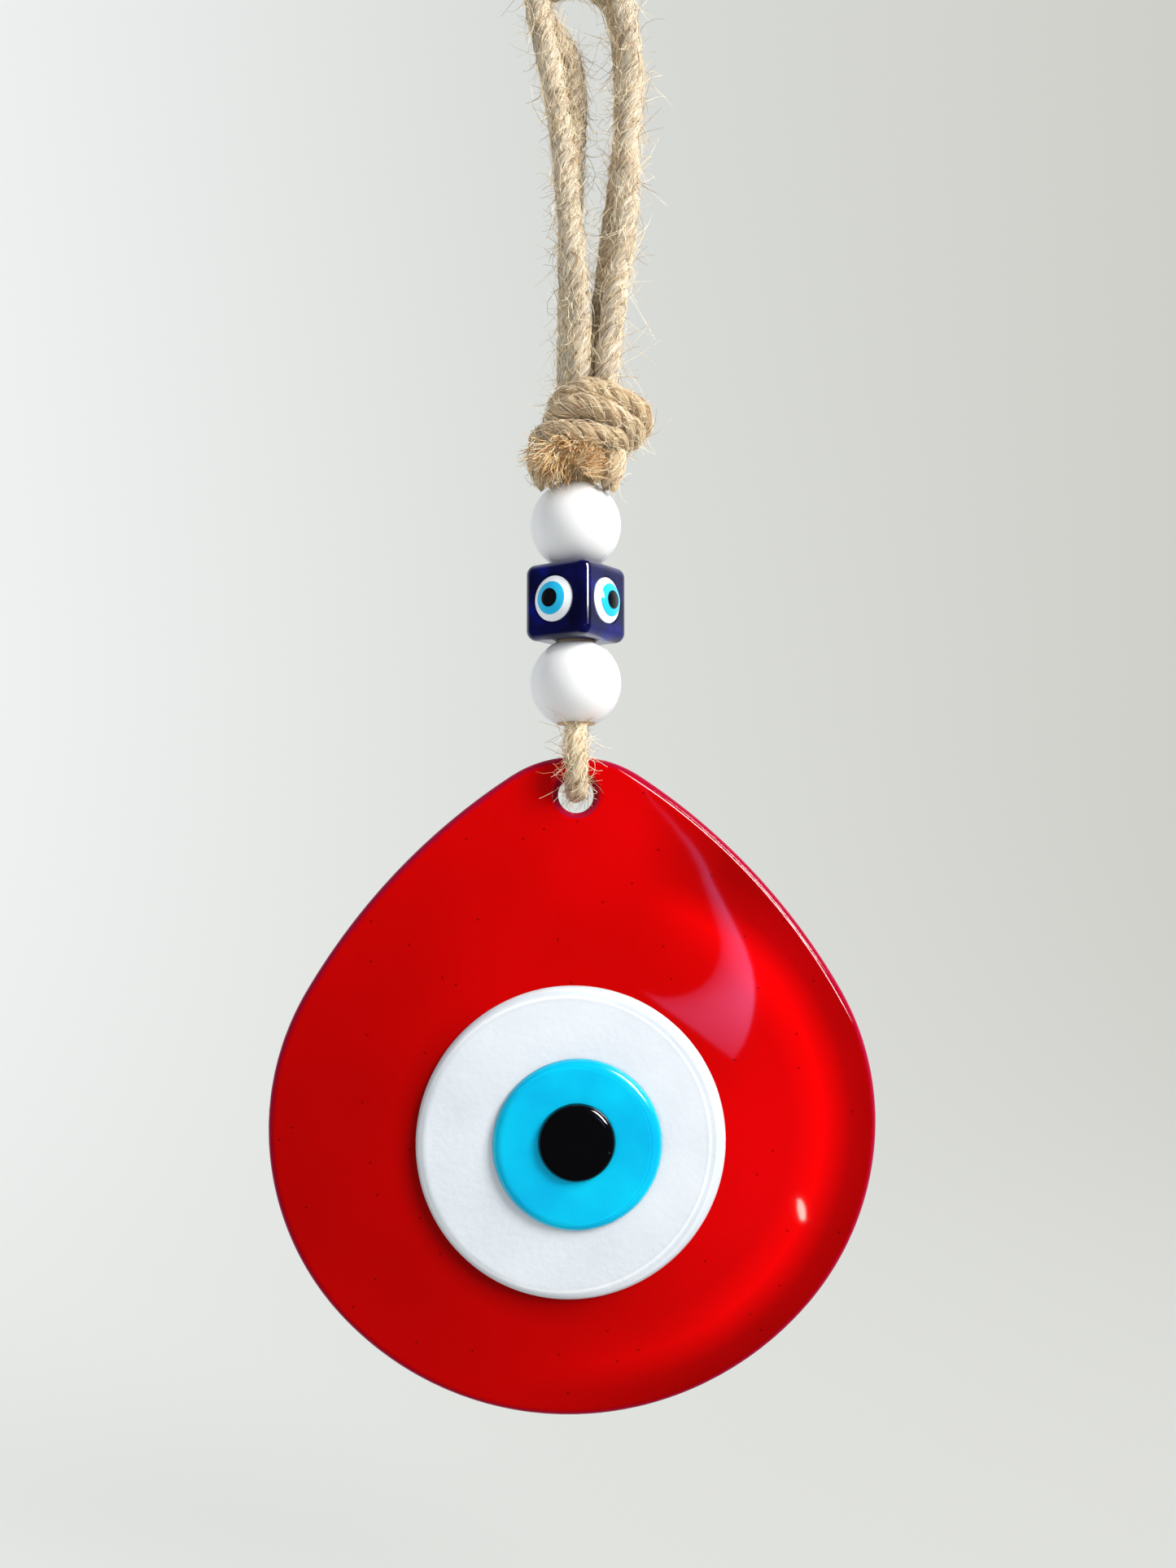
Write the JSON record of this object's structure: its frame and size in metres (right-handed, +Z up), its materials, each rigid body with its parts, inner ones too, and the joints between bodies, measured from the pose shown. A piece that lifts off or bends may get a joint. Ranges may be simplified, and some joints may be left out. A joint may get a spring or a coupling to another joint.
{
  "type": "evil eye hanging ornament",
  "caption": "Drop-shaped red glass plate with a stacked eye, hung on a doubled jute cord through round beads and a cube eye bead, with a knot and hanging loops.",
  "frame": {"origin": "inside top of the hanging loops, where the peg or hook carries the ornament", "axes": "+Z up along the cord, front of the glass faces -Y, +X to the right seen from the front"},
  "size_m": [0.1044, 0.0195, 0.2555],
  "materials": {
    "red_glass": "polished",
    "white_glass": "satin",
    "blue_glass": "glossy",
    "black_glass": "glossy",
    "white_bead": "glossy",
    "cobalt_glass": "polished",
    "white_enamel": "glossy",
    "blue_enamel": "glossy",
    "black_enamel": "glossy",
    "jute": "rough twisted fibre"
  },
  "bodies": {
    "hanging_cord": {"hanging_loop_front": "jute", "hanging_loop_rear": "jute", "knot": "jute", "cut_end_left": "jute", "cut_end_right": "jute"},
    "bead_cord": {"bead_cord_front": "jute", "bead_cord_rear": "jute"},
    "lower_bead": {"bead_lower": "white_bead"},
    "cube": {"bead_cube": "cobalt_glass", "cube_eye_front_left_white": "white_enamel", "cube_eye_front_left_blue": "blue_enamel", "cube_eye_front_left_black": "black_enamel", "cube_eye_front_right_white": "white_enamel", "cube_eye_front_right_blue": "blue_enamel", "cube_eye_front_right_black": "black_enamel", "cube_eye_back_right_white": "white_enamel", "cube_eye_back_right_blue": "blue_enamel", "cube_eye_back_right_black": "black_enamel", "cube_eye_back_left_white": "white_enamel", "cube_eye_back_left_blue": "blue_enamel", "cube_eye_back_left_black": "black_enamel"},
    "upper_bead": {"bead_upper": "white_bead"},
    "sling": {"hole_sling": "jute"},
    "glass": {"glass_drop": "red_glass", "eye_white_disc": "white_glass", "eye_blue_disc": "blue_glass", "eye_pupil": "black_glass"}
  },
  "joints": [
    {"name": "cord_twist", "type": "hinge", "parent": "hanging_cord", "child": "bead_cord", "pos_m": [0, 0, -0.09095], "axis": [0, 0, 1], "range_deg": [-90, 90]},
    {"name": "bead_slide", "type": "slide", "parent": "bead_cord", "child": "lower_bead", "axis": [0, 0, -1], "range_m": [0, 0.003], "deforming": ["hole_sling"]},
    {"name": "cube_turn", "type": "hinge", "parent": "lower_bead", "child": "cube", "pos_m": [0, 0, -0.11263], "axis": [0, 0, 1], "continuous": true},
    {"name": "upper_bead_turn", "type": "hinge", "parent": "lower_bead", "child": "upper_bead", "pos_m": [0, 0, -0.0986], "axis": [0, 0, 1], "continuous": true},
    {"name": "sling_swing", "type": "hinge", "parent": "bead_cord", "child": "sling", "pos_m": [0, 0, -0.13395], "axis": [1, 0, 0], "range_deg": [-25, 25], "deforming": ["hole_sling"]},
    {"name": "glass_tilt", "type": "hinge", "parent": "sling", "child": "glass", "pos_m": [0, 0, -0.14575], "axis": [0, 1, 0], "range_deg": [-35, 35]}
  ]
}
